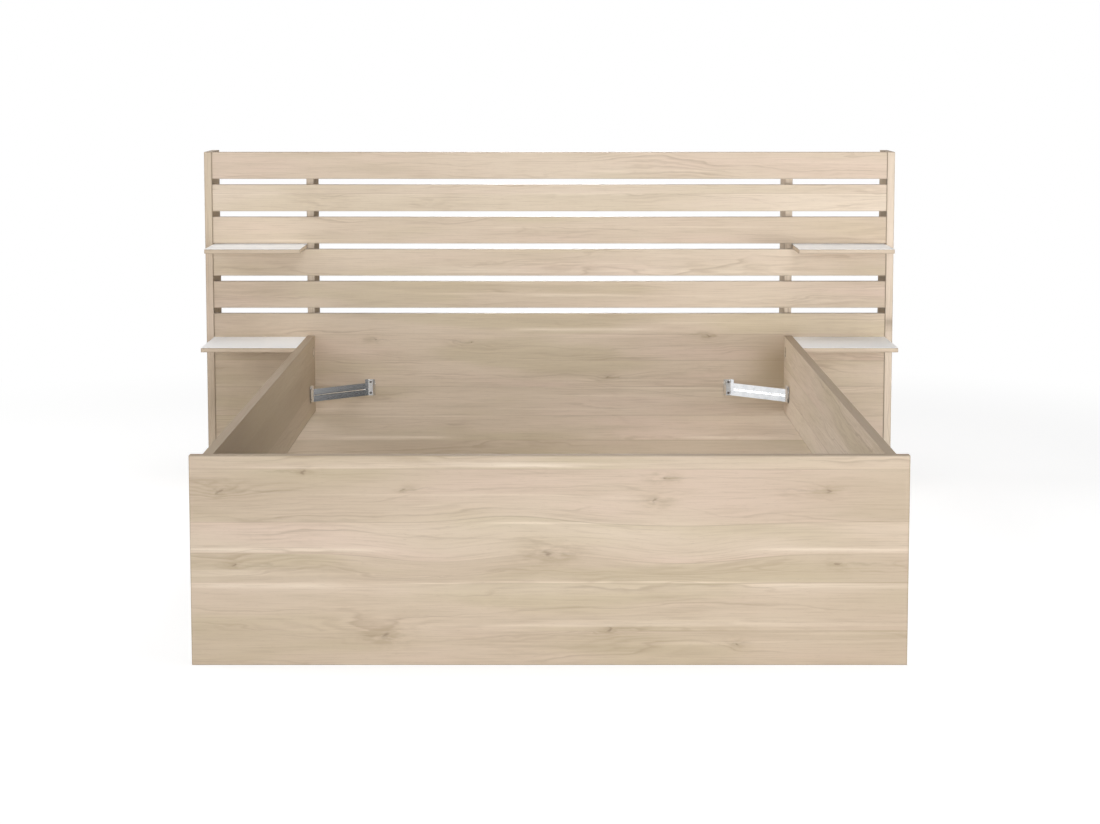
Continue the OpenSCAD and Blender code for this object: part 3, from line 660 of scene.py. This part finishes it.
# What the photo shows on single boards. Knots: along, across, size and length of the tail.
# Strips: where each starts across the board, and its tone. Streaks: place across, half width,
# start and end. Shades: along, across, half length, half width, and how much lighter it is
# there, or duller below 0; on the head panel and at the right end of the footboard they are
# painted shade and painted light. Inside: the same for the side that faces the middle of the
# bed, painted shade below 0 and painted light above it. Bends: the same, with how far the lines
# are pushed down. Pale: the tone of the whole board, and band: the painted light that its narrow
# edges add to that.
FROM_EDGE = -9.0
EVERYWHERE = 99.0
PLAIN_LOOK = {
    "knots": [], "strips": [(FROM_EDGE, 0.0)], "streaks": [], "shades": [], "inside": [],
    "bends": [], "pale": 0.0, "band": 0.0,
}
LOOKS = {
    "footboard": {
        "knots": [
            (0.001, 0.241, 0.019, 0.05),
            (-0.344, 0.064, 0.019, -0.06),
            (-0.691, 0.373, 0.011, 0.16),
            (-0.514, 0.413, 0.009, -0.10),
            (-0.663, 0.215, 0.010, 0.12),
            (-0.300, 0.377, 0.007, 0.05),
            (0.228, 0.352, 0.012, -0.06),
            (0.241, 0.400, 0.010, 0.05),
            (0.581, 0.373, 0.011, -0.12),
            (0.607, 0.217, 0.011, 0.10),
            (0.127, 0.077, 0.010, 0.10),
            (0.392, 0.047, 0.008, 0.04),
        ],
        "strips": [
            (FROM_EDGE, -0.06), (0.0735, -0.02), (0.1775, -0.12), (0.2395, 0.26),
            (0.307, -0.08), (0.419, 0.10),
        ],
        "streaks": [
            (0.1715, 0.0060, -0.80, -0.42),
            (0.1715, 0.0060, 0.40, 0.80),
            (0.1750, 0.0014, -0.36, -0.16),
            (0.1770, 0.0016, -0.16, 0.42),
            (0.2480, 0.0042, -0.80, -0.34),
            (0.2480, 0.0030, 0.42, 0.80),
            (0.3035, 0.0025, -0.14, 0.16),
            (0.4245, 0.0035, -0.16, 0.10),
        ],
        "shades": [
            (-0.70, 0.365, 0.26, 0.050, -0.26),
            (0.70, 0.370, 0.22, 0.045, -0.18),
            (0.00, 0.320, 0.38, 0.050, 0.22),
            (-0.72, 0.090, 0.30, 0.080, -0.10),
            (0.13, 0.285, 0.12, 0.018, 0.20),
            # These three are painted shade that dulls the right end, which the near lamp lights
            # more
            (0.70, 0.090, 0.30, 0.130, -0.14),
            (0.66, 0.270, 0.25, 0.040, -0.12),
            (0.82, 0.200, 0.30, 0.400, -0.28),
            (0.10, 0.163, 0.45, 0.014, 0.36),
        ],
        "bends": [
            (0.27, 0.236, 0.17, 0.045, 0.025),
            (-0.24, 0.236, 0.14, 0.045, 0.020),
            (0.28, 0.330, 0.20, 0.035, 0.010),
            (-0.08, 0.325, 0.14, 0.035, -0.014),
        ],
    },
    "head_panel": {
        "knots": [
            (-0.53, 0.436, 0.008, 0.08),
            (-0.24, 0.430, 0.007, -0.05),
            (0.17, 0.320, 0.009, 0.06),
            (0.47, 0.450, 0.009, -0.08),
        ],
        # Strip tones partly painted shade and light, darkest at the bottom
        "strips": [
            (FROM_EDGE, -0.30), (0.128, 0.05), (0.205, 0.02), (0.292, 0.12),
            (0.372, 0.02), (0.452, 0.0),
        ],
        "streaks": [
            (0.466, 0.0050, -0.12, 0.32),
            (0.136, 0.0050, -0.66, -0.30),
            (0.136, 0.0040, 0.40, 0.68),
        ],
        # Painted shade under the left shelf, at the lower right and beside the right rail above
        # its brace; painted light under the right shelf and along the top
        "shades": [
            (-0.90, 0.33, 0.16, 0.20, -0.40),
            (0.87, 0.33, 0.14, 0.20, 0.20),
            (0.60, 0.17, 0.28, 0.09, -0.30),
            (0.00, 0.43, 0.60, 0.06, 0.16),
            (0.69, 0.355, 0.07, 0.075, -0.95),
        ],
    },
    "slat_1": {"pale": 0.20},
    "slat_2": {
        "strips": [(FROM_EDGE, 0.05), (0.876, -0.05)],
        "streaks": [
            (0.8750, 0.0036, -0.16, 0.30),
            (0.8745, 0.0032, -1.10, -0.78),
            (0.8740, 0.0016, -0.80, -0.34),
            (0.8745, 0.0022, 0.48, 1.10),
        ],
        "pale": 0.48,
    },
    "slat_3": {"pale": 0.08},
    "slat_4": {"pale": 0.18},
    "slat_5": {
        "strips": [(FROM_EDGE, -0.05)],
        "streaks": [(0.5690, 0.0040, -0.08, 0.26)],
        "shades": [(-0.70, 0.57, 0.35, 0.10, 0.28), (0.70, 0.57, 0.35, 0.10, 0.44)],
    },
    "left_rail": {
        "strips": [(FROM_EDGE, 0.06), (0.292, -0.10), (0.376, 0.06)],
        # Painted shade on the side that faces the middle, deepest towards the foot end where the
        # footboard shades it
        "inside": [
            (0.0, 0.33, EVERYWHERE, EVERYWHERE, -0.75),
            (-0.90, 0.33, 0.55, EVERYWHERE, -0.90),
        ],
    },
}

# Painted shade on the side of these boards that faces the middle of the bed, and painted light on
# that side of the right rail
INNER_PAINTED_SHADE_AND_LIGHT = {
    "left_post": -1.15, "right_post": -0.83, "left_upright": -1.40, "right_upright": -0.20,
    "right_rail": 0.40,
}
# Painted light on the narrow front and back edges of the posts and uprights
EDGE_PAINTED_LIGHT = {"left_post": -0.04, "right_post": 0.80, "left_upright": 1.00, "right_upright": 0.85}

# Width and tone of a strip on the other boards, from the least to the most, and the least
# width that the last one has
STRIP_WIDTHS = (0.055, 0.120)
STRIP_TONES = (-0.16, 0.16)
LAST_STRIP = 0.02

# Seed of the first board's decor, and the step from one board to the next
FIRST_SEED = 1.3
SEED_STEP = 2.37


def loose_strips(node, seed):
    """Strips of random width and tone across a board."""
    low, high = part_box(node)
    across = sorted(high - low)[1]
    axis = list(high - low).index(across)
    chance = random.Random(seed)
    strips = [(FROM_EDGE, chance.uniform(*STRIP_TONES))]
    place = low[axis] + chance.uniform(*STRIP_WIDTHS)
    while place < high[axis] - LAST_STRIP:
        strips.append((place, chance.uniform(*STRIP_TONES)))
        place += chance.uniform(*STRIP_WIDTHS)
    return strips


def dress_boards():
    seed = FIRST_SEED
    for along, names in ((0, BOARDS_ALONG_X), (1, BOARDS_ALONG_Y), (2, BOARDS_ALONG_Z)):
        for name in names:
            loose = {
                "strips": loose_strips(name, seed),
                "inside": [(0.0, 0.0, EVERYWHERE, EVERYWHERE, INNER_PAINTED_SHADE_AND_LIGHT.get(name, 0.0))],
                "band": EDGE_PAINTED_LIGHT.get(name, 0.0),
            }
            look = {**PLAIN_LOOK, **LOOKS.get(name, loose)}
            material = oak_material("oak_" + name, name, along, seed, look)
            set_material(name, material)
            seed += SEED_STEP


# Other surfaces

def white_laminate():
    material, graph = new_material("white_laminate")
    point = graph.node("ShaderNodeTexCoord").outputs["Object"]
    peel = graph.noise(point, scale=900.0, detail=2.0)
    color = graph.mix(peel, srgb(250, 251, 252), srgb(243, 244, 245))
    roughness = graph.add(graph.mul(peel, 0.06), 0.40)
    normal = graph.bump(peel, strength=0.08, distance=0.0002)
    finish_surface(graph, color, roughness, normal, Specular_IOR_Level=0.25)
    return material


def metal(name, pale, dull, roughness, grain, speckle):
    """Metal with fine grain, faint stains and a small change of gloss. Grain is its waves per
    metre, and speckle what the stains add to its roughness."""
    material, graph = new_material(name)
    point = graph.node("ShaderNodeTexCoord").outputs["Object"]
    stains = graph.noise(point, scale=38.0, detail=4.0, roughness=0.6)
    fine = graph.noise(point, scale=grain, detail=2.0)
    color = graph.mix(graph.between(stains, 0.35, 0.7), pale, dull)
    rough = graph.add(graph.mul(stains, speckle), roughness)
    normal = graph.bump(fine, strength=0.10, distance=0.0002)
    finish_surface(graph, color, rough, normal, Metallic=1.0)
    return material


def beech_wood():
    material, graph = new_material("beech")
    point = graph.node("ShaderNodeTexCoord").outputs["Object"]
    flecks = graph.noise(point, scale=700.0, detail=3.0)
    color = graph.mix(graph.between(flecks, 0.4, 0.7), srgb(222, 188, 142), srgb(190, 148, 100))
    finish_surface(graph, color, graph.add(graph.mul(flecks, 0.2), 0.5))
    return material


def cap_plastic():
    material, graph = new_material("cap_plastic")
    point = graph.node("ShaderNodeTexCoord").outputs["Object"]
    grain = graph.noise(point, scale=1400.0, detail=2.0)
    color = graph.mix(graph.mul(grain, 0.4), srgb(214, 195, 170), srgb(196, 174, 148))
    normal = graph.bump(grain, strength=0.15, distance=0.0002)
    finish_surface(graph, color, 0.42, normal)
    return material


def set_material(name, material):
    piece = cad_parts[name]
    piece.data.materials.clear()
    piece.data.materials.append(material)


def dress_fittings():
    steel = metal(
        "zinc_sheet", srgb(243, 244, 245), srgb(234, 236, 238),
        roughness=0.12, grain=2600.0, speckle=0.06,
    )
    turned = metal(
        "zinc_turned", srgb(205, 207, 210), srgb(180, 182, 184),
        roughness=0.28, grain=1800.0, speckle=0.15,
    )
    dark = metal(
        "burnished_screw", srgb(120, 116, 112), srgb(88, 84, 80),
        roughness=0.38, grain=2200.0, speckle=0.15,
    )
    cast = metal(
        "cast_zinc", srgb(128, 129, 130), srgb(104, 105, 106),
        roughness=0.44, grain=1500.0, speckle=0.12,
    )
    for names, material in (
        (WHITE_TOPS, white_laminate()),
        (SHEET_STEEL, steel),
        (TURNED_STEEL, turned),
        (DARK_STEEL, dark),
        (CAST_ZINC, cast),
        (BEECH, beech_wood()),
        (CAPS, cap_plastic()),
    ):
        for name in names:
            set_material(name, material)


def weld_points(piece):
    """Joins the faces of a mesh at their common points."""
    weld = piece.modifiers.new("weld", "WELD")
    weld.merge_threshold = WELD_GAP


def soften_edges():
    """Small rounded edges on the boards and fittings."""
    for names, width in (
        (BOARDS_ALONG_X, BOARD_ROUNDING),
        (BOARDS_ALONG_Y, RAIL_ROUNDING),
        (BOARDS_ALONG_Z, BOARD_ROUNDING),
        (WHITE_TOPS, TOP_ROUNDING),
        (SHEET_STEEL, SHEET_ROUNDING),
    ):
        for name in names:
            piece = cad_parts[name]
            weld_points(piece)
            bevel = piece.modifiers.new("soft_edges", "BEVEL")
            bevel.width = width
            bevel.segments = 2
            bevel.limit_method = "ANGLE"
            bevel.angle_limit = math.radians(SHARP_EDGE)
            bevel.harden_normals = True


def ease_cams():
    """A hair of air round the rail cams, so that their facets pass those of their holes."""
    for name in RAIL_CAMS:
        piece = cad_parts[name]
        weld_points(piece)
        shrink = piece.modifiers.new("air", "DISPLACE")
        shrink.direction = "NORMAL"
        shrink.mid_level = 0.0
        shrink.strength = -CAM_AIR


# Stage

def emission(graph, strength):
    white = (1.0, 1.0, 1.0, 1.0)
    return graph.node("ShaderNodeEmission", {"Color": white, "Strength": strength}).outputs[0]


def diffuse(graph, level):
    grey = (level, level, level, 1.0)
    return graph.node("ShaderNodeBsdfDiffuse", {"Color": grey}).outputs[0]


def shader_between(graph, share, a, b):
    """Shader a where share is 0 and b where it is 1."""
    return graph.node("ShaderNodeMixShader", {0: share, 1: a, 2: b}).outputs[0]


def seen_floor(graph, point):
    """White, but near the object part of that is light from the lamps, which leaves its soft
    shadow."""
    reach = graph.node("ShaderNodeVectorMath", {0: point}, operation="LENGTH").outputs["Value"]
    lit = {0: diffuse(graph, FLOOR_SHADE), 1: emission(graph, FLOOR_GLOW)}
    near = graph.node("ShaderNodeAddShader", lit).outputs[0]
    far = emission(graph, 1.0)
    return shader_between(graph, graph.between(reach, *FLOOR_FADE), near, far)


def mirrored_floor(graph, point):
    """White, but dark at the back right, with a painted shadow of the bed on the floor inside the
    frame.
    """
    x, y, _ = graph.node("ShaderNodeSeparateXYZ", {0: point}).outputs
    right = graph.mul(graph.between(x, *FLOOR_BORDER), graph.between(y, *FLOOR_BORDER))
    level = graph.sub(1.0, graph.mul(right, 1.0 - DARK_SIDE))
    # Painted shadow of the bed on the floor inside the frame, as reflections see it
    inside = graph.sub(1.0, graph.between(graph.math("ABSOLUTE", x), *INSIDE_BORDER))
    level = graph.mul(level, graph.sub(1.0, graph.mul(inside, 1.0 - UNDER_BED_SHADOW)))
    return emission(graph, level)


def floor_material():
    """One floor for the camera, one for reflections and a plain one for all other light."""
    material, graph = new_material("floor")
    point = graph.node("ShaderNodeTexCoord").outputs["Object"]
    path = graph.node("ShaderNodeLightPath").outputs
    plain = diffuse(graph, FLOOR_GREY)
    mirrored = mirrored_floor(graph, point)
    unseen = shader_between(graph, path["Is Glossy Ray"], plain, mirrored)
    shown = shader_between(graph, path["Is Camera Ray"], unseen, seen_floor(graph, point))
    output = graph.node("ShaderNodeOutputMaterial")
    graph.tree.links.new(shown, output.inputs["Surface"])
    return material


def make_floor():
    """White floor that only keeps a soft shadow near the object."""
    half = FLOOR_HALF
    mesh = bpy.data.meshes.new("floor")
    corners = [(-half, -half, 0), (half, -half, 0), (half, half, 0), (-half, half, 0)]
    mesh.from_pydata(corners, [], [(0, 1, 2, 3)])
    floor = bpy.data.objects.new("floor", mesh)
    bpy.context.scene.collection.objects.link(floor)
    mesh.materials.append(floor_material())


def make_world():
    """White to the camera, and an even soft light on the object.
    Reflections show white on the left and dark on the right, like a studio with one open side."""
    world = bpy.data.worlds.new("world")
    bpy.context.scene.world = world
    world.use_nodes = True
    graph = Graph(world.node_tree)
    path = graph.node("ShaderNodeLightPath").outputs
    way = graph.node("ShaderNodeTexCoord").outputs["Generated"]
    x = graph.node("ShaderNodeSeparateXYZ", {0: way}).outputs[0]
    right = graph.between(x, *WORLD_BORDER)
    mirrored = graph.sub(1.0, graph.mul(right, 1.0 - DARK_SIDE))
    strength = graph.between_values(path["Is Glossy Ray"], SKY_EVEN, mirrored)
    seen = graph.math("MAXIMUM", path["Is Camera Ray"], path["Is Transmission Ray"])
    strength = graph.between_values(seen, strength, 1.0)
    sky = graph.node("ShaderNodeBackground", {"Color": (1, 1, 1, 1), "Strength": strength})
    output = graph.node("ShaderNodeOutputWorld")
    graph.tree.links.new(sky.outputs[0], output.inputs["Surface"])


def make_lamps():
    for name, place, target, width, height, power in LAMPS:
        data = bpy.data.lights.new(name, "AREA")
        data.shape = "RECTANGLE"
        data.size = width
        data.size_y = height
        data.energy = power
        lamp = bpy.data.objects.new(name, data)
        lamp.location = place
        aim = [b - a for a, b in zip(place, target)]
        flat = math.hypot(aim[0], aim[1])
        lamp.rotation_euler = (math.atan2(flat, -aim[2]), 0, math.atan2(-aim[0], aim[1]))
        bpy.context.scene.collection.objects.link(lamp)


def make_back_light():
    """Nearly level light from behind, which leaves all that faces the foot end as it is."""
    data = bpy.data.lights.new("back", "SUN")
    data.angle = math.radians(BACK_WIDTH)
    data.energy = BACK_STRENGTH
    light = bpy.data.objects.new("back", data)
    light.rotation_euler = (math.radians(BACK_HEIGHT - 90), 0, 0)
    bpy.context.scene.collection.objects.link(light)


make_camera()
make_world()
make_lamps()
make_back_light()
make_floor()
dress_boards()
dress_fittings()
soften_edges()
ease_cams()
